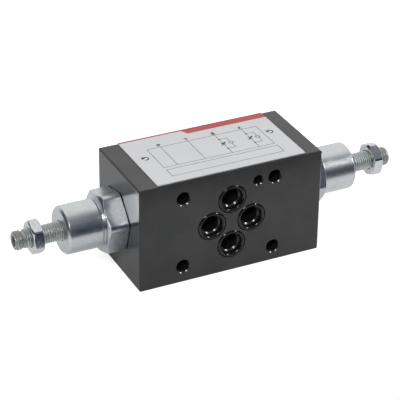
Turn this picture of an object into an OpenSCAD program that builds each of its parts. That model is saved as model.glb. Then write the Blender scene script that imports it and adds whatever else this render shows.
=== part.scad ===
// Stacking double throttle-check valve, size 6 mounting pattern, lying on its long side face.
// X runs along the two cartridges, the port face looks to -Y, the name plate looks up.
// Axial places inside a cartridge are distances from the middle of the body, outwards.

/* [Valve body] */
// Length of the body along the cartridges
body_l = 81; // [70:1:110]
// Depth of the body from the port face to the back face
body_d = 40.5; // [38:0.5:60]
// Height of the body from its resting face to the name plate
body_h = 46; // [42:0.5:60]
// Break on every edge of the body
edge_break = 0.6; // [0.2:0.1:1.5]
// Distance of the cartridge axis from the back face
axis_back = 18.2; // [16:0.1:20]

/* [Mounting pattern] */
// Diameter of the four bolt holes
bolt_hole_d = 5.5; // [4.5:0.1:6.6]
// Distance of the left pair of bolt holes from the middle of the body
left_bolt_x = 21.5; // [20:0.1:25]
// Distance between the two left bolt holes
left_bolt_span = 31; // [28:0.1:34]
// Distance of the right pair of bolt holes from the middle of the body
right_bolt_x = 19; // [18:0.1:24]
// Distance between the two right bolt holes
right_bolt_span = 32.5; // [28:0.1:34]
// Distance between the pressure port and the tank port
port_span = 20.8; // [19:0.1:24]
// Distance of port A from the middle of the body
port_a_x = 8.8; // [8:0.1:10.5]
// Distance of port B from the middle of the body
port_b_x = 8.7; // [8:0.1:10.5]
// Diameter of the port mouths
port_d = 7.5; // [5:0.1:8]
// Depth of the wide mouths of ports A and B
mouth_depth = 8; // [4:0.5:10]
// Diameter of the drillings from ports A and B to their cavity
feed_d = 6; // [4:0.1:6.6]
// Distance of the slanted drillings' inner ends outwards from the start of the housing's nose
feed_offset = 1.5; // [0:0.1:2]
// How far the slanted drillings run into the back mouths
feed_overlap = 0.8; // [0.5:0.1:2]
// Diameter of the locating pin hole
pin_d = 4; // [3:0.1:5]
// Depth of the locating pin hole
pin_depth = 5; // [3:0.5:10]
// Distance of the pin hole from the middle of the body
pin_x = 11.5; // [10:0.1:13]
// Height of the pin hole above the middle of the body
pin_z = 16.25; // [15:0.05:17]
// Chamfer at the mouths of the bolt holes and the pin hole
hole_chamfer = 0.4; // [0.1:0.1:0.8]

/* [Port seals] */
// Outside diameter of the four port seals
seal_od = 12.5; // [11:0.1:12.8]
// Thickness of the port seals
seal_cord = 1.78; // [1.4:0.01:2.4]
// Distance of the clamped seal's top below the port face
seal_sink = 0.05; // [0.02:0.01:0.2]

/* [Cartridge housing] */
// Nominal diameter of the thread that holds the housing in the body
shank_d = 20; // [18:0.5:22]
// Width across the flats of the hexagon
hex_af = 24; // [22:0.5:30]
// Length of the hexagon
hex_l = 8.5; // [6:0.1:14]
// Width across the slightly turned-off corners of the hexagon, as a share of the flats
hex_corner = 1.1146; // [1.06:0.0001:1.15]
// Diameter of the round face inside the hexagon's end chamfer, as a share of the flats
hex_face = 0.98; // [0.9:0.01:0.98]
// Slope of the end chamfers of the hexagon and the lock nut
hex_slope = 30; // [15:1:40]
// Turn of the left hexagon, as it was tightened
left_hex_turn = 42.9; // [0:0.1:60]
// Turn of the right hexagon, as it was tightened
right_hex_turn = 35; // [0:0.1:60]
// Height of the round bearing face under the hexagon
bearing_h = 0.35; // [0.2:0.05:1]
// Width of the bearing face outside the seal's gland
bearing_rim = 0.4; // [0.3:0.05:0.6]
// Depth of the relief between the shank's thread and the bearing face
shank_relief = 0.8; // [0.5:0.1:1.2]
// Chamfer on the inner end of the shank
shank_chamfer = 1; // [0.5:0.1:1.5]
// Diameter of the sleeve outside the hexagon
sleeve_d = 20; // [16:0.5:22]
// Length of the sleeve, from the hexagon to its end face
sleeve_l = 15.75; // [10:0.25:30]
// Chamfer on the sleeve's end
sleeve_chamfer = 1; // [0.3:0.1:2]
// Width of the relief groove between the sleeve and the hexagon
relief_w = 0.8; // [0.4:0.1:1.5]
// Depth of the relief groove between the sleeve and the hexagon
relief_h = 0.4; // [0.2:0.1:0.8]
// Thickness of the seal under the hexagon
head_seal_cord = 2; // [1.6:0.1:2.4]
// Wall of the housing's nose round the poppet
nose_wall = 1.45; // [1:0.05:1.8]
// Length of the chamber round the housing's nose, up to the shank's thread
nose_l = 4.95; // [4.5:0.05:6]

/* [Adjusting screw and lock nut] */
// Nominal thread diameter of the adjusting screw
screw_d = 8; // [6:0.5:8.5]
// Length of the adjusting screw outside the sleeve
screw_out = 19.6; // [17:0.1:30]
// Chamfer on the tip of the adjusting screw
screw_chamfer = 0.7; // [0.3:0.1:1.2]
// Distance from the tip to the middle of the groove that stops the lock nut from coming off
stop_back = 3.55; // [2.5:0.05:5]
// Width of that groove's floor
stop_w = 0.6; // [0.3:0.1:1]
// Depth of that groove, with sides at 45 degrees
stop_h = 0.6; // [0.3:0.1:0.8]
// Width across the flats of the socket in the tip
socket_af = 4; // [3:0.5:5]
// Depth of the socket in the tip
socket_depth = 4.5; // [2:0.5:8]
// Width across the flats of the lock nut
nut_af = 13; // [12:0.5:17]
// Diameter of the round faces inside the lock nut's chamfers, as a share of the flats
nut_face = 0.93; // [0.9:0.01:0.98]
// Thickness of the lock nut
nut_h = 4.7; // [3:0.1:6.5]
// Distance of the left lock nut from the sleeve's end
left_nut_gap = 8.5; // [0.5:0.1:9]
// Distance of the right lock nut from the sleeve's end
right_nut_gap = 10.3; // [0.5:0.1:10.8]
// Turn of the left lock nut
left_nut_turn = 10.2; // [0:0.1:60]
// Turn of the right lock nut
right_nut_turn = 7; // [0:0.1:60]

/* [Throttle plunger] */
// Diameter of the plunger's stem
stem_d = 5; // [4:0.1:5.4]
// Diameter of the plunger's piston
piston_d = 9; // [8:0.1:9.6]
// Length of the plunger's piston
piston_l = 11; // [9.5:0.5:14]
// How far the plunger can be screwed in from where it stands
travel_in = 3.75; // [1.25:0.25:4]
// How far the plunger can be screwed out from where it stands
travel_out = 1.25; // [0.5:0.25:2]
// Length of the throttling notch in the stem
notch_l = 6; // [3:0.5:8]
// Depth of the throttling notch at the stem's tip
notch_h = 1.8; // [0.5:0.1:2]
// Distance of the stem's tip outwards from the seat ring's inner face
stem_sink = 1; // [0.5:0.1:2]
// Thickness of the plunger's seal
piston_seal_cord = 1.24; // [1:0.02:1.4]
// Axial room for the seal in the plunger's groove
groove_room = 0.4; // [0.2:0.05:0.6]
// Width of the plunger's land in front of its groove
piston_land = 2; // [1.5:0.1:3]
// Diameter of the screw's foot in the plunger's T slot
foot_d = 4.8; // [4:0.1:5]
// Thickness of the screw's foot
foot_h = 1.6; // [1:0.1:2]
// Diameter of the screw's neck
neck_d = 2.8; // [2:0.1:3]
// Length of the screw's neck, from the foot to the thread
neck_l = 3.6; // [3:0.1:5]
// Thickness of the plunger's lip over the screw's foot
lip_h = 2; // [1.5:0.1:2.5]

/* [Check valve] */
// Bore of the seat ring
seat_bore_d = 7; // [6:0.1:8]
// Step in the cavity that the seat ring is pressed against
seat_step = 1.5; // [1:0.1:2]
// Outside diameter of the seat ring
seat_d = 12; // [11:0.1:12.5]
// Length of the seat ring
seat_l = 2.5; // [2:0.1:4]
// Width of the seat ring's 45 degree seating chamfer
seat_chamfer = 0.8; // [0.4:0.1:1.2]
// Outside diameter of the poppet's skirt
poppet_d = 10; // [9.8:0.1:10.6]
// Length of the poppet from the seat ring's outer face to the end of its skirt
poppet_l = 11.5; // [10:0.1:14]
// Wall of the poppet's skirt
poppet_wall = 1; // [0.7:0.05:1.2]
// Distance of the poppet's floor under the spring from the seat ring's outer face
poppet_floor = 2; // [1.5:0.1:3]
// Width of the flat rim round the bore in the poppet's nose
poppet_rim = 0.4; // [0.2:0.05:0.6]
// Diameter of the four cross holes in the skirt
cross_hole_d = 2.5; // [1.5:0.1:3]
// How far the poppet lifts off its seat
poppet_lift = 2.5; // [1:0.1:3]
// Open length of the cavity between the seat ring and the housing's nose
chamber_l = 8; // [7.5:0.1:9]
// Wire diameter of the check spring
wire_d = 0.7; // [0.5:0.05:0.8]
// Coils of the check spring
spring_turns = 7; // [4:1:9]
// Thickness of the ring under the check spring
ring_h = 1; // [0.6:0.1:2]

/* [Name plate] */
// Thickness of the name plate
plate_h = 0.4; // [0.2:0.1:1]
// Distance of the name plate from the left end of the body
plate_left = 8.25; // [1:0.25:15]
// Distance of the name plate from the right end of the body
plate_right = 7.25; // [1:0.25:15]
// Distance of the name plate from the port face
plate_front = 1.3; // [1:0.1:10]
// Distance of the name plate from the back face
plate_back = 0.5; // [0.5:0.1:10]
// Corner radius of the name plate
plate_corner = 0.5; // [0.2:0.1:4]

/* [Clearances] */
// Radial clearance of threads and of sliding fits
fit_clear = 0.03; // [0.01:0.01:0.1]
// Clearance between the poppet and its seat, and of pressed rings
seat_clear = 0.02; // [0.01:0.01:0.05]
// Clearance between round pieces that pass each other freely
free_clear = 0.3; // [0.2:0.05:0.5]
// Axial clearance of the screw's foot in its slot
foot_clear = 0.1; // [0.05:0.05:0.3]
// Clearance round seals in their grooves
seal_clear = 0.05; // [0.02:0.01:0.1]
// Axial room left behind the poppet when it is lifted
lift_clear = 0.5; // [0.3:0.1:1]
// Axial room left in front of the piston when it is screwed right in
in_clear = 0.75; // [0.3:0.05:1]
// Axial room left behind the piston when it is screwed right out
out_clear = 1.25; // [0.3:0.05:2]

/* [Hidden] */
$fn = 96;
overcut = 1;

// Axis of both cartridges, at the height of ports A and B
axis_y = body_d / 2 - axis_back;
axis_z = body_h / 2;

// Mounting pattern as [x, z] from the middle of the port face
bolt_places = [[-left_bolt_x, left_bolt_span / 2], [-left_bolt_x, -left_bolt_span / 2],
               [right_bolt_x, right_bolt_span / 2], [right_bolt_x, -right_bolt_span / 2]];
place_p = [0, port_span / 2];
place_t = [0, -port_span / 2];
place_a = [-port_a_x, 0];
place_b = [port_b_x, 0];

// Port seals and their recesses
recess_r = seal_od / 2 + seal_clear;
recess_depth = seal_cord + 2 * seal_sink;

// Axial places in the cavity, from the inner chamber outwards
cavity_wall = 1.2;
seat_land = 0.2;
inner_at = min(port_a_x, port_b_x) - feed_d / 2 - cavity_wall;
inner_r = seat_d / 2 - seat_step;
seat_at = max(port_a_x, port_b_x) + feed_d / 2 + seat_land;
seat_end = seat_at + seat_l;
nose_at = seat_end + chamber_l;
skirt_end = seat_end + poppet_l;
ring_at = skirt_end + poppet_lift + lift_clear;
step_at = ring_at + ring_h;
piston_at = step_at + travel_in + in_clear;
piston_end = piston_at + piston_l;
bore_end = piston_end + travel_out + out_clear;
feed_at = nose_at + feed_offset;

// Radii that fit each other
poppet_r = poppet_d / 2;
nose_bore_r = poppet_r + fit_clear;
nose_r = nose_bore_r + nose_wall;
chamber_r = nose_r + seal_clear;
piston_r = piston_d / 2;
piston_bore_r = piston_r + fit_clear;
stem_r = stem_d / 2;
poppet_bore_r = stem_r + seal_clear;
poppet_inside_r = poppet_r - poppet_wall;
screw_r = screw_d / 2;
thread_bore_r = screw_r + fit_clear;

// Housing outside the body
shank_r = shank_d / 2;
end_at = body_l / 2;
neck_r = shank_r - shank_relief;
gland_r = neck_r + head_seal_cord + 2 * seal_clear;
gland_depth = head_seal_cord + 2 * seal_clear;
shank_at = nose_at + nose_l;
thread_from = shank_at + free_clear;
thread_to = end_at - gland_depth - free_clear;
bearing_r = gland_r + bearing_rim;
hex_end = end_at + bearing_h + hex_l;
sleeve_end = hex_end + sleeve_l;
sleeve_r = sleeve_d / 2;
tip_at = sleeve_end + screw_out;
stop_from = tip_at - stop_back - stop_w / 2;
stop_to = stop_from + stop_w;

// Screw's foot inside the plunger's T slot
slot_floor = piston_end - lip_h - foot_h - 2 * foot_clear;
foot_at = slot_floor + foot_clear;
thread_at = foot_at + foot_h + neck_l;

// Plunger seal and check spring
groove_w = piston_seal_cord + groove_room;
groove_at = piston_at + piston_land;
groove_r = piston_r - piston_seal_cord - seal_clear;
stem_tip = seat_at + stem_sink;
spring_r = (stem_r + free_clear + poppet_inside_r) / 2;
spring_seat = seat_end + poppet_floor;
spring_from = spring_seat + seal_clear + wire_d / 2;
spring_to = ring_at - seal_clear - wire_d / 2;
wire_sides = 8;
coil_steps = 20;

body_colour = [0.17, 0.17, 0.18];
plated_colour = [0.76, 0.78, 0.80];
steel_colour = [0.58, 0.59, 0.61];
spring_colour = [0.45, 0.46, 0.48];
rubber_colour = [0.05, 0.05, 0.055];
plate_colour = [0.86, 0.86, 0.87];

// Places a turned piece on the cartridge axis: its own Z points out of the body on that side
module on_axis(side)
  translate([0, axis_y, axis_z]) rotate([0, side * 90, 0]) children();

// Places a cut on the port face at [x, z] from its middle: its own Z points into the body
module on_port_face(place)
  translate([place[0], -body_d / 2, axis_z + place[1]]) rotate([-90, 0, 0]) children();

// Round bar between two axial places
module bar(r, from, to)
  translate([0, 0, from]) cylinder(r = r, h = to - from);

// Hexagon bar between two axial places, with its outer corners turned off to a round and a chamfer
module hexagon(af, face, corner_r, from, to, chamfer_from, chamfer_to) {
  face_r = af / 2 * face;
  fall = (corner_r - face_r) * tan(hex_slope);
  low = chamfer_from ? face_r : corner_r;
  high = chamfer_to ? face_r : corner_r;
  intersection() {
    translate([0, 0, from]) cylinder(r = af / sqrt(3), h = to - from, $fn = 6);
    rotate_extrude() polygon([[0, from], [low, from], [corner_r, from + (chamfer_from ? fall : 0)],
                              [corner_r, to - (chamfer_to ? fall : 0)], [high, to], [0, to]]);
  }
}

// Rubber ring of round section
module o_ring(mid_r, cord, at)
  translate([0, 0, at]) rotate_extrude() translate([mid_r, 0]) circle(d = cord, $fn = 48);

// Rectangle with its four corners cut at 45 degrees
module broken_rectangle(w, h, c)
  polygon([[c - w / 2, -h / 2], [w / 2 - c, -h / 2], [w / 2, c - h / 2], [w / 2, h / 2 - c],
           [w / 2 - c, h / 2], [c - w / 2, h / 2], [-w / 2, h / 2 - c], [-w / 2, c - h / 2]]);

// Block with all twelve edges broken
module broken_block(l, d, h, c)
  intersection() {
    linear_extrude(h, center = true) broken_rectangle(l, d, c);
    rotate([90, 0, 0]) linear_extrude(d, center = true) broken_rectangle(l, h, c);
    rotate([90, 0, 90]) linear_extrude(l, center = true) broken_rectangle(d, h, c);
  }

// Hole with a 45 degree chamfer at its mouth, both starting at the local origin
module chamfered_hole(r, depth, chamfer) {
  bar(r, -overcut, depth);
  translate([0, 0, -chamfer]) cylinder(r1 = r + 2 * chamfer, r2 = r, h = 2 * chamfer);
}

// Through hole for a clamping bolt, chamfered on both faces
module bolt_hole(place)
  on_port_face(place) {
    chamfered_hole(bolt_hole_d / 2, body_d + overcut, hole_chamfer);
    translate([0, 0, body_d]) rotate([180, 0, 0]) chamfered_hole(bolt_hole_d / 2, overcut, hole_chamfer);
  }

// Round recess for a port seal
module seal_recess(place)
  on_port_face(place) bar(recess_r, -overcut, recess_depth);

// Stepped cavity for one cartridge, with the two drillings of its port
module cavity(side, port_x) {
  feed_angle = atan2(axis_back, port_x - feed_at);
  feed_l = norm([axis_back - feed_d / 2 + feed_overlap, feed_at - port_x]);
  on_axis(side) {
    bar(inner_r, inner_at, seat_at + overcut);
    bar(seat_d / 2 + seat_clear, seat_at, seat_end + overcut);
    bar(chamber_r, seat_end, shank_at + overcut);
    bar(shank_r + fit_clear, shank_at, end_at + overcut);
    bar(gland_r, end_at - gland_depth, end_at + overcut);
    translate([0, 0, port_x]) rotate([90, 0, 0]) bar(feed_d / 2, 0, axis_y + body_d / 2);
    translate([0, 0, feed_at]) rotate([-feed_angle, 0, 0]) bar(feed_d / 2, 0, feed_l);
  }
  on_port_face([side * port_x, 0]) {
    bar(port_d / 2, -overcut, mouth_depth);
    bar(port_d / 2, body_d - mouth_depth / 2, body_d + overcut);
  }
}

module valve_body()
  color(body_colour) difference() {
    translate([0, 0, body_h / 2]) broken_block(body_l, body_d, body_h, edge_break);
    for (place = bolt_places) bolt_hole(place);
    for (place = [place_p, place_t]) on_port_face(place) bar(port_d / 2, -overcut, body_d + overcut);
    for (place = [place_p, place_t, place_a, place_b]) seal_recess(place);
    on_port_face([pin_x, pin_z]) chamfered_hole(pin_d / 2, pin_depth, hole_chamfer);
    cavity(-1, port_a_x);
    cavity(1, port_b_x);
  }

module name_plate() {
  l = body_l - plate_left - plate_right;
  w = body_d - plate_front - plate_back;
  c = plate_corner;
  color(plate_colour)
    translate([(plate_left - plate_right) / 2, (plate_front - plate_back) / 2, body_h])
      linear_extrude(plate_h) union() {
        square([l - 2 * c, w], center = true);
        square([l, w - 2 * c], center = true);
        for (x = [-1, 1], y = [-1, 1]) translate([x * (l / 2 - c), y * (w / 2 - c)]) circle(c, $fn = 32);
      }
}

module port_seal(place)
  color(rubber_colour) on_port_face(place)
    o_ring(seal_od / 2 - seal_cord / 2, seal_cord, seal_sink + seal_cord / 2);

// Hexagon, sleeve, threaded shank and nose, turned from one hexagon bar
module housing(side, turn)
  color(plated_colour) on_axis(side) difference() {
    union() {
      rotate_extrude() polygon([
        [0, nose_at], [nose_r, nose_at], [nose_r, thread_from], [shank_r - shank_chamfer, thread_from],
        [shank_r, thread_from + shank_chamfer], [shank_r, thread_to], [neck_r, thread_to], [neck_r, end_at],
        [bearing_r, end_at],
        [bearing_r, end_at + bearing_h], [sleeve_r - relief_h, end_at + bearing_h],
        [sleeve_r - relief_h, hex_end + relief_w], [sleeve_r, hex_end + relief_w + relief_h],
        [sleeve_r, sleeve_end - sleeve_chamfer], [sleeve_r - sleeve_chamfer, sleeve_end], [0, sleeve_end]]);
      rotate(turn) hexagon(hex_af, hex_face, hex_af / 2 * hex_corner, end_at + bearing_h, hex_end, false, true);
    }
    bar(nose_bore_r, nose_at - overcut, step_at);
    bar(piston_bore_r, step_at - overcut, bore_end);
    bar(thread_bore_r, bore_end - overcut, sleeve_end + overcut);
    translate([0, 0, sleeve_end]) rotate([180, 0, 0]) chamfered_hole(thread_bore_r, overcut, hole_chamfer);
  }

module housing_seal(side)
  color(rubber_colour) on_axis(side)
    o_ring(neck_r + seal_clear + head_seal_cord / 2, head_seal_cord, end_at - gland_depth / 2);

// Screw with a socket in its tip, a stop groove behind it and a T foot on its inner end
module adjusting_screw(side)
  color(plated_colour) on_axis(side) difference() {
    rotate_extrude() polygon([
      [0, foot_at], [foot_d / 2, foot_at], [foot_d / 2, foot_at + foot_h], [neck_d / 2, foot_at + foot_h],
      [neck_d / 2, thread_at], [screw_r - screw_chamfer, thread_at], [screw_r, thread_at + screw_chamfer],
      [screw_r, stop_from - stop_h], [screw_r - stop_h, stop_from], [screw_r - stop_h, stop_to],
      [screw_r, stop_to + stop_h], [screw_r, tip_at - screw_chamfer], [screw_r - screw_chamfer, tip_at],
      [0, tip_at]]);
    translate([0, 0, tip_at - socket_depth])
      cylinder(r = socket_af / sqrt(3), h = socket_depth + overcut, $fn = 6);
  }

module lock_nut(side, gap, turn) {
  from = sleeve_end + gap;
  to = from + nut_h;
  color(plated_colour) on_axis(side) difference() {
    rotate(turn) hexagon(nut_af, nut_face, nut_af / 2 * hex_corner, from, to, true, true);
    bar(thread_bore_r, from - overcut, to + overcut);
    translate([0, 0, from]) chamfered_hole(thread_bore_r, overcut, hole_chamfer);
    translate([0, 0, to]) rotate([180, 0, 0]) chamfered_hole(thread_bore_r, overcut, hole_chamfer);
  }
}

// Stem with a throttling notch, piston with a seal groove, and a T slot for the screw's foot
module plunger(side)
  color(steel_colour) on_axis(side) difference() {
    rotate_extrude() polygon([
      [0, stem_tip], [stem_r, stem_tip], [stem_r, piston_at], [piston_r, piston_at], [piston_r, groove_at],
      [groove_r, groove_at], [groove_r, groove_at + groove_w], [piston_r, groove_at + groove_w],
      [piston_r, piston_end], [0, piston_end]]);
    rotate([90, 0, 0]) linear_extrude(stem_d + overcut, center = true)
      polygon([[stem_r, stem_tip + notch_l], [stem_r - notch_h, stem_tip],
               [stem_r - notch_h, stem_tip - overcut], [stem_r + overcut, stem_tip - overcut],
               [stem_r + overcut, stem_tip + notch_l]]);
    t_slot(foot_d / 2 + free_clear, slot_floor, piston_end - lip_h);
    t_slot(neck_d / 2 + free_clear, slot_floor, piston_end + overcut);
  }

// Slot of round-ended width, open to one side so that the screw's foot slides in
module t_slot(half_w, from, to) {
  bar(half_w, from, to);
  translate([0, -half_w, from]) cube([piston_d, 2 * half_w, to - from]);
}

module plunger_seal(side)
  color(rubber_colour) on_axis(side)
    o_ring(groove_r + seal_clear / 2 + piston_seal_cord / 2, piston_seal_cord, groove_at + groove_w / 2);

module seat_ring(side)
  color(steel_colour) on_axis(side) rotate_extrude() polygon([
    [seat_bore_d / 2, seat_at], [seat_d / 2, seat_at], [seat_d / 2, seat_end],
    [seat_bore_d / 2 + seat_chamfer, seat_end], [seat_bore_d / 2, seat_end - seat_chamfer]]);

// Hollow poppet: seating cone, bore for the stem, and a drilled skirt
module poppet(side) {
  cone_r = seat_bore_d / 2 + seat_chamfer - 2 * seat_clear;
  rim_r = poppet_bore_r + poppet_rim;
  tip = seat_end - (cone_r - rim_r);
  color(steel_colour) on_axis(side) difference() {
    rotate_extrude() polygon([
      [poppet_bore_r, tip], [rim_r, tip], [cone_r, seat_end],
      [poppet_r, seat_end + poppet_r - cone_r], [poppet_r, skirt_end],
      [poppet_inside_r, skirt_end], [poppet_inside_r, spring_seat], [poppet_bore_r, spring_seat]]);
    for (turn = [0, 90]) translate([0, 0, spring_seat + cross_hole_d]) rotate([90, 0, turn])
      cylinder(d = cross_hole_d, h = poppet_d + overcut, center = true);
  }
}

module spring_ring(side)
  color(steel_colour) on_axis(side) difference() {
    bar(poppet_r, ring_at, step_at);
    bar(stem_r + free_clear, ring_at - overcut, step_at + overcut);
  }

// Round wire carried along a helix: rings of points, skinned between neighbours and capped at both ends
module check_spring(side) {
  rings = spring_turns * coil_steps;
  pitch = (spring_to - spring_from) / rings;
  points = [for (i = [0 : rings], j = [0 : wire_sides - 1])
    let (turn = 360 * i / coil_steps, a = 360 * j / wire_sides, r = spring_r + wire_d / 2 * cos(a))
    [r * cos(turn), r * sin(turn), spring_from + pitch * i + wire_d / 2 * sin(a)]];
  skin = [for (i = [0 : rings - 1], j = [0 : wire_sides - 1])
    let (k = (j + 1) % wire_sides, a = i * wire_sides, b = a + wire_sides) [a + j, b + j, b + k, a + k]];
  first = [for (j = [0 : wire_sides - 1]) j];
  last = [for (j = [wire_sides - 1 : -1 : 0]) rings * wire_sides + j];
  color(spring_colour) on_axis(side) polyhedron(points, concat(skin, [first, last]));
}

valve_body();
name_plate();
port_seal(place_p);  // seal_p
port_seal(place_t);  // seal_t
port_seal(place_a);  // seal_a
port_seal(place_b);  // seal_b
housing(-1, left_hex_turn);  // left_housing
housing_seal(-1);  // left_housing_seal
seat_ring(-1);  // left_seat_ring
poppet(-1);  // left_poppet
check_spring(-1);  // left_check_spring
spring_ring(-1);  // left_spring_ring
plunger(-1);  // left_plunger
plunger_seal(-1);  // left_plunger_seal
adjusting_screw(-1);  // left_adjusting_screw
lock_nut(-1, left_nut_gap, left_nut_turn);  // left_lock_nut
housing(1, right_hex_turn);  // right_housing
housing_seal(1);  // right_housing_seal
seat_ring(1);  // right_seat_ring
poppet(1);  // right_poppet
check_spring(1);  // right_check_spring
spring_ring(1);  // right_spring_ring
plunger(1);  // right_plunger
plunger_seal(1);  // right_plunger_seal
adjusting_screw(1);  // right_adjusting_screw
lock_nut(1, right_nut_gap, right_nut_turn);  // right_lock_nut
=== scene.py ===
# Stacking hydraulic valve with two throttle-check cartridges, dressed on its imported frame.
import bmesh
import bpy
import numpy as np
from mathutils import Matrix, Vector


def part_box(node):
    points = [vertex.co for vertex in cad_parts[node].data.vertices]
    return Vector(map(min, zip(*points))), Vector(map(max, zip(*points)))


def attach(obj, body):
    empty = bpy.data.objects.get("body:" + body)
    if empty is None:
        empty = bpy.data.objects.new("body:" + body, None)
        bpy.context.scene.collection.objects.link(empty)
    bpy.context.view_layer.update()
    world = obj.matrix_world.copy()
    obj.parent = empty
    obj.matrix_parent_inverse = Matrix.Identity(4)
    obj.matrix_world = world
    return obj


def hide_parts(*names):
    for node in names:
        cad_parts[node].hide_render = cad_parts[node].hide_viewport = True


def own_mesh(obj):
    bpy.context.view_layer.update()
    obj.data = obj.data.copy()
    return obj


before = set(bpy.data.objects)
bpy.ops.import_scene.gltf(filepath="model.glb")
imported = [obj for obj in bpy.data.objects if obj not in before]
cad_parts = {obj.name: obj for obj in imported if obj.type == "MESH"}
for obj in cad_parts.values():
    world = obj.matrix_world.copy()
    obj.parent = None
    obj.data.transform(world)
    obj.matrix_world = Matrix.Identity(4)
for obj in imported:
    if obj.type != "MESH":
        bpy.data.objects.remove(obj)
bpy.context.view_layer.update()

mm = 0.001


# Valve body: a block of iron, milled on its six faces, drilled and bored, then blackened in a
# phosphate bath and oiled. Each port bore has a small chamfer where it meets its seal's recess.
class Socket:
    """An output of a shader tree: arithmetic on it adds Math nodes, and node() adds any other node."""

    def __init__(self, tree, output=None):
        self.tree = tree
        self.output = output

    def node(self, kind, settings, inputs, output=0):
        """Adds a node, sets its settings, then gives each input a value or a link; returns one output."""
        made = self.tree.nodes.new("ShaderNode" + kind)
        for name, setting in settings.items():
            setattr(made, name, setting)
        for name, value in inputs.items():
            if isinstance(value, Socket):
                self.tree.links.new(value.output, made.inputs[name])
            else:
                made.inputs[name].default_value = value
        return Socket(self.tree, made.outputs[output])

    def math(self, operation, *values):
        """Math node on the values, or on this one alone."""
        return self.node("Math", {"operation": operation}, dict(enumerate(values or [self])))

    def __add__(self, other):
        return self.math("ADD", self, other)

    def __sub__(self, other):
        return self.math("SUBTRACT", self, other)

    def __rsub__(self, other):
        return self.math("SUBTRACT", other, self)

    def __mul__(self, other):
        return self.math("MULTIPLY", self, other)

    def __abs__(self):
        return self.math("ABSOLUTE")

    __radd__ = __add__
    __rmul__ = __mul__

    def axis(self, letter):
        """One coordinate of this vector."""
        return self.node("SeparateXYZ", {}, {"Vector": self}, letter)

    def stretched(self, along, across):
        """This place scaled apart along X and across it, so that noise turns to streaks."""
        return self.node("Mapping", {}, {"Vector": self, "Scale": (along, across, across)})

    def noise(self, scale, detail=2.0):
        """Noise between 0 and 1 at this place, with so many cells to the metre."""
        return self.node("TexNoise", {}, {"Vector": self, "Scale": scale, "Detail": detail})

    def ramp(self, low, high):
        """Smooth step: 0 below low, 1 above high."""
        return self.node("MapRange", {"interpolation_type": "SMOOTHSTEP"}, {0: self, 1: low, 2: high})

    def mix(self, first, second):
        """Colour that goes from first to second as this value goes from 0 to 1."""
        return self.node("Mix", {"data_type": "RGBA"}, {0: self, 6: first, 7: second}, 2)

    def bump(self, depth):
        """Surface normal for this height, where 1 is so deep in metres."""
        return self.node("Bump", {}, {"Height": self, "Distance": depth, "Strength": 1.0})

    def feed(self, shader, name):
        """Links this value to a socket of the shader."""
        self.tree.links.new(self.output, shader.inputs[name])


def grey(level, blue=0.0):
    """Grey of a linear level, with a little more blue where asked."""
    return (level, level * (1 + blue / 2), level * (1 + blue), 1)


def start_finish(name, constants):
    """New material, its Principled shader with the constant sockets set, and its Object coordinates."""
    made = bpy.data.materials.new(name)
    made.use_nodes = True
    shader = made.node_tree.nodes["Principled BSDF"]
    for socket, value in constants.items():
        shader.inputs[socket].default_value = value
    return made, shader, Socket(made.node_tree).node("TexCoord", {}, {}, "Object")


def span(node):
    """Lowest and highest corner of a CAD node, in millimetres."""
    return (np.array(corner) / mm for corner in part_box(node))


def depth_under(place, low, high):
    """Distance under the nearest face of a box, from its two corners."""
    middle, half = (low + high) / 2, (high - low) / 2
    depths = [half[i] * mm - abs(place.axis("XYZ"[i]) - middle[i] * mm) for i in range(3)]
    return place.math("MINIMUM", place.math("MINIMUM", depths[0], depths[1]), depths[2])


body_low, body_high = span("valve_body")
rim_h = 0.5 * mm
phosphate, shader, place = start_finish("black_phosphate", {"IOR": 1.5})
clouds = place.noise(90, 3)
crystals = place.noise(2600)
milling = place.stretched(60, 3200).noise(1.0)
bore_wall = place.node("NewGeometry", {}, {}, "Normal").axis("Y").ramp(-0.5, -0.2)
# Painted shade: deeper than about a millimetre inside the holes, on walls that don't face the port side, the
# colour is darkened almost to black. These walls are also made rougher.
bore_shade_and_rough = depth_under(place, body_low, body_high).ramp(rim_h, 3 * rim_h) * bore_wall
outside = clouds.ramp(0.3, 0.7).mix(grey(0.021), (0.034, 0.0315, 0.031, 1))
bore_shade_and_rough.mix(outside, grey(0.006)).feed(shader, "Base Color")
(0.16 + 0.05 * clouds + 0.04 * crystals + 0.03 * milling + 0.35 * bore_shade_and_rough).feed(shader, "Roughness")
(crystals + 0.5 * milling).bump(0.003 * mm).feed(shader, "Normal")

weld = 0.0005 * mm
block = bmesh.new()
block.from_mesh(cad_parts["valve_body"].data)
bmesh.ops.remove_doubles(block, verts=block.verts, dist=weld)

port_seals = ["seal_p", "seal_t", "seal_a", "seal_b"]
port_r, port_chamfer, seal_sink, rim_slack = 3.75, 0.5, 0.05, 0.02
spots = np.array([corner.co for corner in block.verts]) / mm
on_rim = np.zeros(len(spots), bool)
for node in port_seals:
    low, high = span(node)
    out = np.linalg.norm((spots - (low + high) / 2)[:, [0, 2]], axis=1)
    at_mouth = np.abs(spots[:, 1] - high[1] - seal_sink) < rim_slack
    on_rim |= at_mouth & (np.abs(out - port_r) < rim_slack)
rims = [edge for edge in block.edges if all(on_rim[corner.index] for corner in edge.verts)]
bmesh.ops.bevel(block, geom=rims, offset=port_chamfer * mm, segments=1, affect="EDGES", clamp_overlap=True)

sharp_angle, flat_limit = float(np.radians(42)), 0.99999


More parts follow.
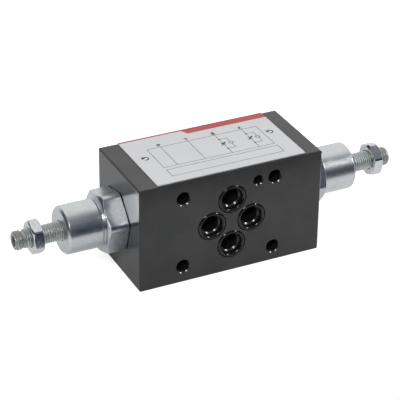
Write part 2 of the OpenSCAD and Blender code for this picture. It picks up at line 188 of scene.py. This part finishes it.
def dress(name, made, finish, body, nodes):
    """Turns a bmesh into a piece, smooth but for its edges and for faces square to an axis, with its
    finish, body and CAD nodes."""
    for edge in made.edges:
        edge.smooth = edge.calc_face_angle(np.pi) < sharp_angle
    mesh = bpy.data.meshes.new(name)
    made.to_mesh(mesh)
    made.free()
    normals = np.empty(3 * len(mesh.polygons), np.float32)
    mesh.polygons.foreach_get("normal", normals)
    curved = np.abs(normals).reshape(-1, 3).max(axis=1) < flat_limit
    mesh.polygons.foreach_set("use_smooth", curved)
    mesh.materials.append(finish)
    piece = bpy.data.objects.new(name, mesh)
    bpy.context.scene.collection.objects.link(piece)
    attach(piece, body)
    if nodes:
        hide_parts(*nodes)
    return piece


dress("milled_block", block, phosphate, "valve", ["valve_body"])


# Port seals: four rings of black nitrile rubber, pressed by hand into the round recesses of the
# port face. Moulded, so smooth, and wet with oil.
def grid_faces(index):
    """Quads between neighbouring rows and columns of an index grid."""
    quads = [index[:-1, :-1], index[:-1, 1:], index[1:, 1:], index[1:, :-1]]
    return np.stack(quads, axis=-1).reshape(-1, 4)


def round_faces(points, ends_meet):
    """Quads over a grid of points whose columns close round, and whose first and last row may meet."""
    index = np.arange(points.size // 3).reshape(points.shape[:2])
    index = np.concatenate([index, index[:, :1]], axis=1)
    if ends_meet:
        index = np.concatenate([index, index[:1]], axis=0)
    return grid_faces(index)


def closed_mesh(points, faces):
    """Mesh from points in millimetres and faces, with seams and poles merged and faces outwards."""
    mesh = bpy.data.meshes.new("grid")
    mesh.from_pydata(points.reshape(-1, 3) * mm, [], faces.tolist())
    made = bmesh.new()
    made.from_mesh(mesh)
    bpy.data.meshes.remove(mesh)
    bmesh.ops.remove_doubles(made, verts=made.verts, dist=weld)
    bmesh.ops.dissolve_degenerate(made, edges=made.edges, dist=0.4 * weld)
    bmesh.ops.recalc_face_normals(made, faces=made.faces)
    return made


def full_turn(count):
    """Angles evenly round a circle, without the last that meets the first."""
    return np.linspace(0, 2 * np.pi, count, endpoint=False)


def seal_ring(centre, ring_r, cord_r, proud, columns=96, rows=24):
    """Torus that faces -Y: a circle of the cord's radius carried round a circle of the ring's radius, its
    front half drawn out so that the unclamped ring stands proud."""
    round_ring = full_turn(columns)
    round_cord = full_turn(rows)[:, None]
    r = ring_r + cord_r * np.cos(round_cord)
    front = np.where(np.sin(round_cord) < 0, cord_r + proud, cord_r)
    depth = front * np.sin(round_cord) + 0 * round_ring
    points = np.stack([r * np.cos(round_ring), depth, r * np.sin(round_ring)], axis=-1) + centre
    return closed_mesh(points, round_faces(points, True))


rubber, shader, place = start_finish("oiled_rubber", {"IOR": 1.46})
smears = place.noise(500, 3)
smears.mix(grey(0.004), grey(0.008)).feed(shader, "Base Color")
(0.12 + 0.1 * smears).feed(shader, "Roughness")
place.noise(5000).bump(0.002 * mm).feed(shader, "Normal")

seal_proud = 0.3
for node in port_seals:
    low, high = span(node)
    cord_r = (high[1] - low[1]) / 2
    ring = seal_ring((low + high) / 2, (high[0] - low[0]) / 2 - cord_r, cord_r, seal_proud)
    dress(node + "_ring", ring, rubber, "valve", [node])


# Name plate: a sheet of aluminium, lacquered light grey, printed, die-cut with small round corners
# and glued on top. It carries a red edge stripe and the standard circuit symbol of the valve.
plate_low, plate_high = span("name_plate")
plate_corner_r, plate_edge_r, ink_h, ink_sink = 0.5, 0.15, 0.015, 0.01
sheet_top = plate_high - [0, 0, ink_h]
ink_from, ink_to = sheet_top[2] - ink_sink, plate_high[2]


def plate_sheet(low, high, corner_r, edge_r, arc_steps=8, edge_steps=5, inner_share=0.9):
    """Rounded rectangle raised to a sheet: its outline goes up the side, over a quarter round edge, to
    the middle of the top, and down to the middle of the underside."""
    step = np.arange(4 * arc_steps)
    quarter = step // arc_steps
    turn = (quarter + step % arc_steps / (arc_steps - 1)) * np.pi / 2
    normal = np.stack([np.cos(turn), np.sin(turn)], axis=-1)
    sign = np.stack([np.array([1, -1, -1, 1])[quarter], np.array([1, 1, -1, -1])[quarter]], axis=-1)
    middle, half = (low + high)[:2] / 2, (high - low)[:2] / 2
    outline = middle + sign * (half - corner_r) + corner_r * normal
    over = np.linspace(0, np.pi / 2, edge_steps)
    inset = np.concatenate([[0], edge_r * (1 - np.cos(over))])
    flat = outline - inset[:, None, None] * normal
    top = middle + inner_share * (flat[-1:] - middle)
    ends = np.broadcast_to(middle, (1,) + outline.shape)
    plan = np.concatenate([ends, flat, top, ends])
    rise = high[2] - edge_r * (1 - np.sin(over))
    height = np.concatenate([[low[2], low[2]], rise, [high[2], high[2]]])
    height = np.broadcast_to(height[:, None, None], plan.shape[:2] + (1,))
    points = np.concatenate([plan, height], axis=-1)
    return closed_mesh(points, round_faces(points, False))


lacquer, shader, place = start_finish("grey_lacquer", {"IOR": 1.45})
grain = place.stretched(40, 2500).noise(1.0)
handling = place.noise(60, 4)
(0.6 * handling + 0.4 * grain).ramp(0.25, 0.75).mix(grey(0.605), grey(0.645)).feed(shader, "Base Color")
(0.34 + 0.12 * handling).feed(shader, "Roughness")
grain.bump(0.002 * mm).feed(shader, "Normal")

sheet = plate_sheet(plate_low, sheet_top, plate_corner_r, plate_edge_r)
dress("printed_plate", sheet, lacquer, "valve", ["name_plate"])


def prisms(plan):
    """Flat outlines, each with its points anticlockwise, raised from inside the lacquer to the ink's top."""
    count, sides = plan.shape[:2]
    levels = [np.concatenate([plan, np.full((count, sides, 1), z)], axis=2) for z in (ink_from, ink_to)]
    points = np.stack(levels, axis=1)
    index = np.arange(count * 2 * sides).reshape(count, 2, sides)
    after = np.roll(index, -1, axis=2)
    walls = np.stack([index[:, 0], after[:, 0], after[:, 1], index[:, 1]], axis=-1).reshape(-1, 4).tolist()
    lids = index[:, 1].tolist() + index[:, 0, ::-1].tolist()
    mesh = bpy.data.meshes.new("prisms")
    mesh.from_pydata(points.reshape(-1, 3) * mm, [], walls + lids)
    made = bmesh.new()
    made.from_mesh(mesh)
    bpy.data.meshes.remove(mesh)
    return made


def strokes(lines, width):
    """Prisms along straight lines, given in sets of rows x0, y0, x1, y1: each line is widened by half the
    width on both sides and at both ends."""
    lines = np.concatenate(lines).reshape(-1, 2, 2)
    along = lines[:, 1] - lines[:, 0]
    along = along / np.linalg.norm(along, axis=1, keepdims=True) * width / 2
    across = np.stack([-along[:, 1], along[:, 0]], axis=1)
    plan = np.stack([lines[:, 0] - along - across, lines[:, 1] + along - across,
                     lines[:, 1] + along + across, lines[:, 0] - along + across], axis=1)
    return prisms(plan)


def joined(*made):
    """One bmesh out of several."""
    for extra in made[1:]:
        mesh = bpy.data.meshes.new("extra")
        extra.to_mesh(mesh)
        made[0].from_mesh(mesh)
        bpy.data.meshes.remove(mesh)
        extra.free()
    return made[0]


def path(*points):
    """Lines between consecutive points, as rows of x0, y0, x1, y1."""
    points = np.asarray(points, float)
    return np.concatenate([points[:-1], points[1:]], axis=1)


def rectangle(left, right, low, high):
    """The four sides of a rectangle, as lines."""
    return path((left, low), (right, low), (right, high), (left, high), (left, low))


def arc(centre, r, start_deg, end_deg, steps=10):
    """Chords of an arc, as lines: the centre plus the radius times cosine and sine of the angle."""
    turn = np.radians(np.linspace(start_deg, end_deg, steps + 1))
    return path(*(np.asarray(centre) + r * np.stack([np.cos(turn), np.sin(turn)], axis=1)))


def disc(centre, r, sides=16):
    """Outline of a dot, or with three sides of an arrow's head: the centre plus the radius times cosine and
    sine of the angle."""
    turn = full_turn(sides)
    return np.asarray(centre) + r * np.stack([np.cos(turn), np.sin(turn)], axis=1)


border_left, border_right, border_low, border_high = -23.76, 25.54, -6.88, 9.52
panel_left, panel_right, panel_low, panel_high = -23.66, 25.94, -14.38, -8.88
thin_w, bold_w, heavy_w = 0.22, 0.32, 0.42
thin = [rectangle(border_left, border_right, border_low, border_high),
        rectangle(panel_left, panel_right, panel_low, panel_high)]
bold, heavy, dots, heads = [], [], [], []

port_lines = {"P": -17.76, "T": -5.56, "B": 6.54, "A": 18.74}
letter_h, letter_w, letter_base = 1.7, 1.1, 10.22
letters = {
    "P": [path((0, 0), (0, 1), (0.6, 1)), path((0, 0.45), (0.6, 0.45)), arc((0.6, 0.725), 0.275, 90, -90)],
    "T": [path((0.5, 0), (0.5, 1)), path((0, 1), (1, 1))],
    "B": [path((0.6, 1), (0, 1), (0, 0), (0.6, 0)), path((0, 0.52), (0.6, 0.52)),
          arc((0.6, 0.76), 0.24, 90, -90), arc((0.6, 0.26), 0.26, 90, -90)],
    "A": [path((0, 0), (0.5, 1), (1, 0)), path((0.2, 0.38), (0.8, 0.38))],
}
for letter, x in port_lines.items():
    thin.append(path((x, border_low), (x, border_high)))
    corner = np.array([x - letter_w / 2, letter_base] * 2)
    heavy += [corner + np.array([letter_w, letter_h] * 2) * lines for lines in letters[letter]]

branch_high, branch_low, branch_out, valve_y, joint_r = 5.32, -2.98, 3.4, 1.32, 0.42
ball_r, seat_arm, throttle_r, throttle_gap = 0.85, 1.2, 1.1, 0.3
arrow, barb_low, barb_high = np.array([1.3, 1.1]), np.array([1.05, 0.45]), np.array([0.6, 0.95])
for x in (port_lines["B"], port_lines["A"]):
    out = x + branch_out
    seat = valve_y - ball_r * np.sqrt(2)
    thin.append(path((x, branch_high), (out, branch_high), (out, valve_y + ball_r)))
    thin.append(path((out, seat), (out, branch_low), (x, branch_low)))
    thin.append(arc((out, valve_y), ball_r, 0, 360, 20))
    thin.append(path((out - seat_arm, seat + seat_arm), (out, seat), (out + seat_arm, seat + seat_arm)))
    bold.append(arc((x - throttle_r - throttle_gap, valve_y), throttle_r, -45, 45))
    bold.append(arc((x + throttle_r + throttle_gap, valve_y), throttle_r, 135, 225))
    throttle = np.array([x, valve_y])
    bold.append(path(throttle - arrow, throttle + arrow, throttle + barb_high))
    bold.append(path(throttle + arrow, throttle + barb_low))
    dots += [disc((x, branch_high), joint_r), disc((x, branch_low), joint_r)]

dial_x, dial_y, dial_r, head_r = (-27.36, 28.69), 2.92, 1.15, 1.2
dial_from, dial_to, head_side = -120, 140, np.array([-0.77, 0.64])
for x in dial_x:
    heavy.append(arc((x, dial_y), dial_r, dial_from, dial_to, 24))
    heads.append(disc(np.array([x, dial_y]) + dial_r * head_side, head_r, 3))

ink, shader, place = start_finish("black_ink", {"IOR": 1.45})
coverage = place.noise(1500, 2)
coverage.mix(grey(0.03), grey(0.07)).feed(shader, "Base Color")
(0.4 + 0.1 * coverage).feed(shader, "Roughness")
symbol = joined(strokes(thin, thin_w), strokes(bold, bold_w), strokes(heavy, heavy_w),
                prisms(np.array(dots)), prisms(np.array(heads)))
dress("printed_symbol", symbol, ink, "valve", [])

stripe_from, rule_low, stripe_step, stripe_slant, stripe_inset = 15.45, 18.6, -4.4, 1.6, 0.12
stripe_left, stripe_right = plate_low[0] + stripe_inset, plate_high[0] - stripe_inset
stripe_to = plate_high[1] - stripe_inset
stripe_plan = np.array([[(stripe_left, rule_low), (stripe_step, rule_low),
                         (stripe_step + stripe_slant, stripe_from), (stripe_right, stripe_from),
                         (stripe_right, stripe_to), (stripe_left, stripe_to)]])
red, shader, place = start_finish("red_ink", {"IOR": 1.45})
coverage = place.noise(400, 3)
coverage.mix((0.41, 0.047, 0.045, 1), (0.47, 0.062, 0.058, 1)).feed(shader, "Base Color")
(0.34 + 0.1 * coverage).feed(shader, "Roughness")
dress("printed_stripe", prisms(stripe_plan), red, "valve", [])


# Cartridge housings: turned from hexagon bar, bored for the plunger, screwed into the ends of the
# body and zinc plated. The sleeve shows fine turning marks, the hexagon its drawn flats.
hands = {-1: "left_", 1: "right_"}
housing_low, housing_high = span("left_housing")
axis_y, axis_z = ((housing_low + housing_high) / 2)[1:]
nose_at, sleeve_end, body_end = -housing_high[0], -housing_low[0], body_high[0]
nose_r, nose_l, shank_r, shank_chamfer = 6.48, 5.25, 10.0, 1.0
relief_r, relief_l, washer_r, washer_h = 9.2, 2.4, 11.85, 0.2
hex_flats, hex_corner_r, hex_face_r, hex_l = 24.0, 13.375, 11.76, 8.85
groove_r, groove_w, sleeve_r, sleeve_chamfer = 9.6, 0.8, 10.0, 1.0
poppet_bore_r, piston_bore_r, screw_bore_r, mouth = 5.03, 4.53, 4.03, 0.4
piston_from, piston_to, housing_ease = 30.0, 48.0, 0.18
hex_from, hex_to = body_end + washer_h, body_end + hex_l
hex_turns = {-1: np.radians(42.9), 1: np.radians(35)}


def on_axis(points, side):
    """Turns points from a cartridge's own frame, Z outwards, to their place on the valve's axis."""
    x, y, z = np.moveaxis(points, -1, 0)
    return np.stack([side * z, axis_y + y, axis_z - side * x], axis=-1)


def spun(points, turn):
    """Points turned about their own Z."""
    x, y, z = np.moveaxis(points, -1, 0)
    return np.stack([x * np.cos(turn) - y * np.sin(turn), x * np.sin(turn) + y * np.cos(turn), z], axis=-1)


def hexagon_angles(flats, corner_r, steps=(0, 0.5, 1, 1.5, 2.6, 4.2, 6)):
    """Angles round a hexagon, closer together at its corners: steps count in half widths of a corner, which
    is where the flats lie outside the radius of the turned corners."""
    near = np.asarray(steps) * (np.pi / 6 - np.arccos(flats / 2 / corner_r))
    flat = np.linspace(near[-1], np.pi / 3 - near[-1], 5)[1:-1]
    sector = np.concatenate([near, flat, np.pi / 3 - near[:0:-1]])
    return (np.arange(6)[:, None] * np.pi / 3 + sector).ravel()


def hexagon_radius(angle, flats, corner_r=None, soft=0.03):
    """Distance of a hexagon's wall from its axis: half the flats over the cosine of the angle from the
    middle of the nearest flat, softly held below the radius of the turned corners."""
    wall = flats / 2 / np.cos(angle % (np.pi / 3) - np.pi / 6)
    if corner_r is None:
        return wall
    return (wall + corner_r - np.sqrt((wall - corner_r) ** 2 + 4 * soft ** 2)) / 2


def chamfer_start(end, radius, face_r, way):
    """Place along a hexagon where its wall meets the 30 degree cone that runs out at the end face."""
    return end - way * (radius - face_r) * np.tan(np.radians(30))


def eased(corners, ease, steps=4):
    """Closed profile with eased corners: each corner becomes a parabola that starts and ends a short way, at
    most 0.45 of a side, along its two sides, corner + (1 - u)^2 * back + u^2 * onward."""
    def reach(way):
        length = np.maximum(np.linalg.norm(way, axis=-1, keepdims=True), 1e-9)
        return way * np.minimum(ease / length, 0.45)
    back = reach(np.roll(corners, 1, axis=0) - corners)
    onward = reach(np.roll(corners, -1, axis=0) - corners)
    u = np.linspace(0, 1, steps)[:, None, None]
    rows = corners[:, None] + (1 - u) ** 2 * back[:, None] + u ** 2 * onward[:, None]
    return rows.reshape(-1, *corners.shape[1:])


def turned_piece(profile, angle, ease):
    """Piece turned round its own Z: a closed profile of places s and radii r, each a number or one value
    for every angle, eased and carried round the angles."""
    rows = np.stack([np.stack([s + 0 * angle, r + 0 * angle], axis=-1) for s, r in profile])
    s, r = np.moveaxis(eased(rows, ease), -1, 0)
    return np.stack([r * np.cos(angle), r * np.sin(angle), s], axis=-1)


def zinc_finish(name, feed, marks_h, dull, flats_to=0.0, duller=0.0):
    """Bright zinc on steel: cool white metal with cloudy, grainy passivation and waves in sine form, a feed
    apart and so high in millimetres; so dull all over, and duller and bluer on the drawn flats of a
    hexagon, which end at a place along X."""
    blotch_h, blend_w, flats_l = 0.01, 0.1, 9.0
    finish, shader, place = start_finish(name, {"Metallic": 1.0})
    clouds = place.noise(160, 3)
    blotches = place.noise(700, 3)
    grains = place.noise(2600)
    out = abs(place.axis("X"))
    flats = 1 - out.ramp((flats_to - blend_w) * mm, (flats_to + blend_w) * mm)
    tone = (0.35 * clouds + 0.4 * blotches + 0.25 * grains).ramp(0.37, 0.63)
    bright = tone.mix((0.54, 0.565, 0.59, 1), (0.64, 0.65, 0.645, 1))
    drawn = tone.mix((0.46, 0.485, 0.515, 1), (0.60, 0.625, 0.645, 1))
    flats.mix(bright, drawn).feed(shader, "Base Color")
    inward = 1 - out.ramp((flats_to - flats_l) * mm, flats_to * mm)
    (dull + 0.06 * clouds + 0.06 * blotches + duller * flats * inward).feed(shader, "Roughness")
    marks = (out * (2 * np.pi / (feed * mm))).math("SINE")
    height = marks_h * (1 - flats) * marks + blotch_h * (0.05 + 0.95 * flats) * blotches
    height.bump(mm).feed(shader, "Normal")
    return finish


def even_shading(piece):
    """Lets large faces rule the normals, so that flats stay flat up to their eased edges."""
    faces = piece.modifiers.new("even_faces", "WEIGHTED_NORMAL")
    faces.weight = 100
    faces.keep_sharp = True


zinc_turned = zinc_finish("turned_zinc", feed=0.16, marks_h=0.0015, dull=0.235, flats_to=hex_to, duller=0.085)
angle = hexagon_angles(hex_flats, hex_corner_r)
wall = hexagon_radius(angle, hex_flats, hex_corner_r)
housing_profile = [
    (nose_at, poppet_bore_r), (nose_at, nose_r), (nose_at + nose_l, nose_r),
    (nose_at + nose_l, shank_r - shank_chamfer), (nose_at + nose_l + shank_chamfer, shank_r),
    (body_end - relief_l, shank_r), (body_end - relief_l, relief_r), (body_end, relief_r),
    (body_end, washer_r), (hex_from, washer_r), (hex_from, wall),
    (chamfer_start(hex_to, wall, hex_face_r, 1), wall), (hex_to, hex_face_r),
    (hex_to, groove_r), (hex_to + groove_w, groove_r), (hex_to + groove_w + sleeve_r - groove_r, sleeve_r),
    (sleeve_end - sleeve_chamfer, sleeve_r), (sleeve_end, sleeve_r - sleeve_chamfer),
    (sleeve_end, screw_bore_r + mouth), (sleeve_end - mouth, screw_bore_r),
    (piston_to, screw_bore_r), (piston_to, piston_bore_r),
    (piston_from, piston_bore_r), (piston_from, poppet_bore_r)]
housing = turned_piece(housing_profile, angle, housing_ease)
for side, word in hands.items():
    made = closed_mesh(on_axis(spun(housing, hex_turns[side]), side), round_faces(housing, True))
    even_shading(dress(word + "cartridge", made, zinc_turned, "valve", [word + "housing"]))


# Pieces inside the cartridges and the body: ground steel plunger, poppet, seat and ring, a spring of
# drawn wire, and rubber rings. They are turned, ground or coiled, and only seen when it is taken apart.
ground, shader, place = start_finish("ground_steel", {"Metallic": 1.0})
lay = place.stretched(4000, 40).noise(1.0)
lay.mix(grey(0.42, 0.04), grey(0.5, 0.04)).feed(shader, "Base Color")
(0.2 + 0.15 * lay).feed(shader, "Roughness")
lay.bump(0.001 * mm).feed(shader, "Normal")

inner_finish = {"seat_ring": ground, "poppet": ground, "spring_ring": ground, "plunger": ground,
                "housing_seal": rubber, "plunger_seal": rubber}
for word in hands.values():
    for piece, finish in inner_finish.items():
        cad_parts[word + piece].data.materials.clear()
        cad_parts[word + piece].data.materials.append(finish)

drawn_wire, shader, place = start_finish("drawn_wire", {"Metallic": 1.0})
scale = place.noise(2200, 3)
scale.mix(grey(0.2, 0.05), grey(0.34, 0.03)).feed(shader, "Base Color")
(0.28 + 0.2 * scale).feed(shader, "Roughness")

wire_r, coils, poppet_lift = 0.35, 7, 2.5


def coiled_wire(from_s, to_s, coil_r, steps=40, columns=12):
    """Round wire along a helix: place and angle grow together from end to end, a circle of the wire's
    radius stands across each point, and the first and last circle shrink to their middles."""
    share = np.concatenate([[0], np.linspace(0, 1, coils * steps + 1), [1]])[:, None]
    thick = np.pad(np.full((coils * steps + 1, 1), wire_r), ((1, 1), (0, 0)))
    round_wire = full_turn(columns)
    angle = 2 * np.pi * coils * share
    r = coil_r + thick * np.cos(round_wire)
    s = from_s + (to_s - from_s) * share + thick * np.sin(round_wire)
    return np.stack([r * np.cos(angle), r * np.sin(angle), s], axis=-1)


def ends_out(node):
    """How far the near and the far end of a node lie from the middle of the valve, along its axis."""
    return np.sort([abs(corner[0]) for corner in span(node)])


for side, word in hands.items():
    low, high = span(word + "check_spring")
    near, far = ends_out(word + "check_spring") + [wire_r, -wire_r]
    wire = coiled_wire(near, far, (high[1] - low[1]) / 2 - wire_r)
    made = closed_mesh(on_axis(wire, side), round_faces(wire, False))
    spring = dress(word + "coil_spring", made, drawn_wire, "valve", [word + "check_spring"])
    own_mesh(spring)


# Adjusting screws: zinc plated steel with a rolled right-hand thread, a hexagon socket in the tip, a
# groove behind it that stops the lock nut, and a turned foot that hangs in the plunger's slot. At the
# tips the plating is a duller, warmer grey.
pitch, screw_r, root_r, screw_columns = 1.0, 4.0, 3.4, 72
foot_r, foot_h, foot_ease, neck_r, neck_l = 2.4, 1.6, 0.15, 1.4, 3.6
socket_flats, socket_depth, socket_point, socket_lead_r, socket_lead_l = 4.0, 4.5, 0.9, 0.25, 0.2
stop_back, stop_w = 3.55, 0.6
crest_share = np.array([0.03, 0.09, 0.36, 0.42, 0.58, 0.64, 0.91, 0.97])
crest_height = np.array([1, 0.92, 0.08, 0, 0, 0.08, 0.92, 1])
round_screw = full_turn(screw_columns)


def threaded(from_s, to_s):
    """Thread as a grid wound on a helix: a row keeps its share of the pitch, s = w + pitch * angle / 2 pi,
    so a row runs along a crest or a root; the ends and the stop groove are cut at 45 degrees down to the
    root. Round the seam each row meets the row one pitch further on."""
    turns = int(np.ceil((to_s - from_s) / pitch)) + 3
    w = from_s - 2 * pitch + (pitch * (np.arange(turns)[:, None] + crest_share)).ravel()
    height = np.tile(crest_height, turns)[:, None] * (screw_r - root_r)
    s = np.clip(w[:, None] + pitch * round_screw / (2 * np.pi), from_s, to_s)
    cut = np.minimum(np.minimum(s - from_s, to_s - s), np.abs(to_s - stop_back - s) - stop_w / 2)
    r = root_r + np.clip(cut, 0, height)
    index = np.arange(s.size).reshape(s.shape)
    step = len(crest_share)
    index = np.concatenate([index[:-step], index[step:, :1]], axis=1)
    points = np.stack([r * np.cos(round_screw), r * np.sin(round_screw), s], axis=-1)
    return points.reshape(-1, 3), grid_faces(index)


def turned_end(profile):
    """End of a screw: an open profile of places and radii carried round the thread's own angles."""
    across, up = np.cos(round_screw), np.sin(round_screw)
    rows = np.stack([np.stack([r * across, r * up, s + 0 * round_screw], axis=-1) for s, r in profile])
    return rows.reshape(-1, 3), round_faces(rows, False)


bare_from, bare_to, root_blend, crest_blend = 80.6, 81.6, 0.05, 0.1
zinc_rolled, shader, place = start_finish("rolled_zinc", {"Metallic": 1.0})
side_y = place.axis("Y") - axis_y * mm
side_z = place.axis("Z") - axis_z * mm
out = (side_y * side_y + side_z * side_z).math("SQRT")
# Painted shade: the thread's roots are coloured darker than its crests, fading out towards the crest.
root_shade_mix = out.ramp((root_r + root_blend) * mm, (screw_r - crest_blend) * mm)
bare = abs(place.axis("X")).ramp(bare_from * mm, bare_to * mm)
passivation = place.noise(700, 3)
plated = passivation.mix((0.6, 0.635, 0.62, 1), (0.68, 0.7, 0.675, 1))
plated = bare.mix(plated, passivation.mix((0.44, 0.425, 0.405, 1), (0.54, 0.52, 0.49, 1)))
root_shade_mix.mix((0.4, 0.42, 0.41, 1), plated).feed(shader, "Base Color")
(0.47 + 0.1 * passivation).feed(shader, "Roughness")
passivation.bump(0.004 * mm).feed(shader, "Normal")

socket = hexagon_radius(round_screw, socket_flats)
for side, word in hands.items():
    foot_at, tip_at = ends_out(word + "adjusting_screw")
    neck_at = foot_at + foot_h
    thread_at = neck_at + neck_l
    tip = [(tip_at, root_r), (tip_at, socket + socket_lead_r), (tip_at - socket_lead_l, socket),
           (tip_at - socket_depth, socket), (tip_at - socket_depth - socket_point, 0)]
    foot = [(foot_at, 0), (foot_at, foot_r - foot_ease), (foot_at + foot_ease, foot_r),
            (neck_at - foot_ease, foot_r), (neck_at, foot_r - foot_ease), (neck_at, neck_r),
            (thread_at, neck_r), (thread_at, root_r)]
    points, faces = zip(threaded(thread_at, tip_at), turned_end(tip), turned_end(foot))
    shift = np.cumsum([0] + [len(part) for part in points[:-1]])
    faces = np.concatenate([part + base for part, base in zip(faces, shift)])
    made = closed_mesh(on_axis(np.concatenate(points), side), faces)
    dress(word + "threaded_screw", made, zinc_rolled, word + "screw", [word + "adjusting_screw"])


# Lock nuts: cold-formed hexagon nuts, chamfered on both faces, tapped and zinc plated. They stand
# backed off from the sleeves, as the valve was photographed.
nut_flats, nut_corner_r, nut_face_r, nut_bore_r, nut_mouth, nut_ease = 13.0, 7.245, 6.045, 4.03, 0.4, 0.12
nut_turns = {-1: np.radians(10.2), 1: np.radians(7)}
zinc_formed = zinc_finish("formed_zinc", feed=4.0, marks_h=0.01, dull=0.08)
angle = hexagon_angles(nut_flats, nut_corner_r)
wall = hexagon_radius(angle, nut_flats, nut_corner_r)
for side, word in hands.items():
    nut_from, nut_to = ends_out(word + "lock_nut")
    nut_profile = [
        (nut_from, nut_bore_r + nut_mouth), (nut_from, nut_face_r),
        (chamfer_start(nut_from, wall, nut_face_r, -1), wall),
        (chamfer_start(nut_to, wall, nut_face_r, 1), wall), (nut_to, nut_face_r),
        (nut_to, nut_bore_r + nut_mouth), (nut_to - nut_mouth, nut_bore_r),
        (nut_from + nut_mouth, nut_bore_r)]
    nut = turned_piece(nut_profile, angle, nut_ease)
    made = closed_mesh(on_axis(spun(nut, nut_turns[side]), side), round_faces(nut, True))
    even_shading(dress(word + "hexagon_nut", made, zinc_formed, word + "nut", [word + "lock_nut"]))


# Studio: a matt white floor that ends a little in front of the valve, white walls behind, and a darker,
# bluish room on the camera's side that the bright metal mirrors. Two small soft boxes hang in front,
# left and right, and give the glints.
scene = bpy.context.scene
scene.view_settings.view_transform = "Standard"


def shown(start, share):
    """1 for rays straight from the camera, and a share for rays that metal or glass sends on."""
    camera_ray, glossy_ray, clear_ray = (start.node("LightPath", {}, {}, "Is " + kind + " Ray")
                                         for kind in ("Camera", "Glossy", "Transmission"))
    return camera_ray + share * (glossy_ray + clear_ray)


floor_share, floor_drop = 0.12, 0.02
floor_constants = {"Roughness": 0.9, "Specular IOR Level": 0.0, "Emission Strength": 1.0}
floor_finish, shader, place = start_finish("white_floor", floor_constants)
place.noise(30, 2).mix(grey(0.84), grey(0.86)).feed(shader, "Base Color")
shown(place, floor_share).mix(grey(0.0), grey(0.7)).feed(shader, "Emission Color")
floor_x = np.linspace(-1500, 1500, 5)
floor_y = np.array([-90.0, 100.0, 500.0, 1500.0])[:, None]
rows = np.stack([floor_x + 0 * floor_y, floor_y + 0 * floor_x, 0 * floor_x * floor_y - floor_drop], axis=-1)
made = closed_mesh(rows, grid_faces(np.arange(rows.size // 3).reshape(rows.shape[:2])))
mesh = bpy.data.meshes.new("floor")
made.to_mesh(mesh)
made.free()
mesh.materials.append(floor_finish)
floor = bpy.data.objects.new("floor", mesh)
scene.collection.objects.link(floor)

world = bpy.data.worlds.new("studio")
scene.world = world
world.use_nodes = True
direction = Socket(world.node_tree).node("TexCoord", {}, {}, "Generated")
walls = direction.axis("Y").ramp(-0.3, 0.3) * direction.axis("X").ramp(-0.6, -0.4)
dark = direction.axis("Z").ramp(0.2, 1.0).mix((0.026, 0.038, 0.062, 1), (0.215, 0.24, 0.275, 1))
room = walls.mix(dark, grey(1.05))
shown(direction, walls).mix(room, grey(1.0)).feed(world.node_tree.nodes["Background"], "Color")


def placed(right, up, back, place):
    """Matrix of an object at a place, with its right, its up and the way opposite to where it looks."""
    rows = np.stack([right, up, back, place], axis=1)
    return Matrix([*rows.tolist(), [0, 0, 0, 1]])


box_distance, box_w, box_h, box_radiance = 1.4, 0.3, 0.15, 52.0
box_ways = {"left_box": (-0.38, -0.61, 0.70), "right_box": (0.74, -0.40, 0.54)}
for name, way in box_ways.items():
    lamp = bpy.data.lights.new(name, "AREA")
    lamp.shape = "RECTANGLE"
    lamp.size, lamp.size_y = box_w, box_h
    lamp.energy = box_radiance * np.pi * box_w * box_h
    back = np.array(way) / np.linalg.norm(way)
    right = np.cross([0, 0, 1], back)
    right /= np.linalg.norm(right)
    soft_box = bpy.data.objects.new(name, lamp)
    soft_box.matrix_world = placed(right, np.cross(back, right), back, back * box_distance)
    soft_box.visible_camera = False
    scene.collection.objects.link(soft_box)

# Camera: a long lens at the photograph's place, above the valve and to the left of its port face.
# It is level but for a small roll.
camera_place = np.array([-282.21, -561.18, 382.63]) * mm
azimuth, elevation, roll = np.radians([-26.340, 29.838, -0.785])
sensor_w, focal_px, photo_px = 36.0, 1768.34, 400
level_back = np.array([np.sin(azimuth), -np.cos(azimuth)]) * np.cos(elevation)
back = np.array([*level_back, np.sin(elevation)])
level = np.cross(-back, [0, 0, 1])
level /= np.linalg.norm(level)
right = np.cos(roll) * level + np.sin(roll) * np.cross(-back, level)
lens = bpy.data.cameras.new("camera")
lens.sensor_width = sensor_w
lens.lens = sensor_w * focal_px / photo_px
camera = bpy.data.objects.new("camera", lens)
camera.matrix_world = placed(right, np.cross(back, right), back, camera_place)
scene.collection.objects.link(camera)
scene.camera = camera
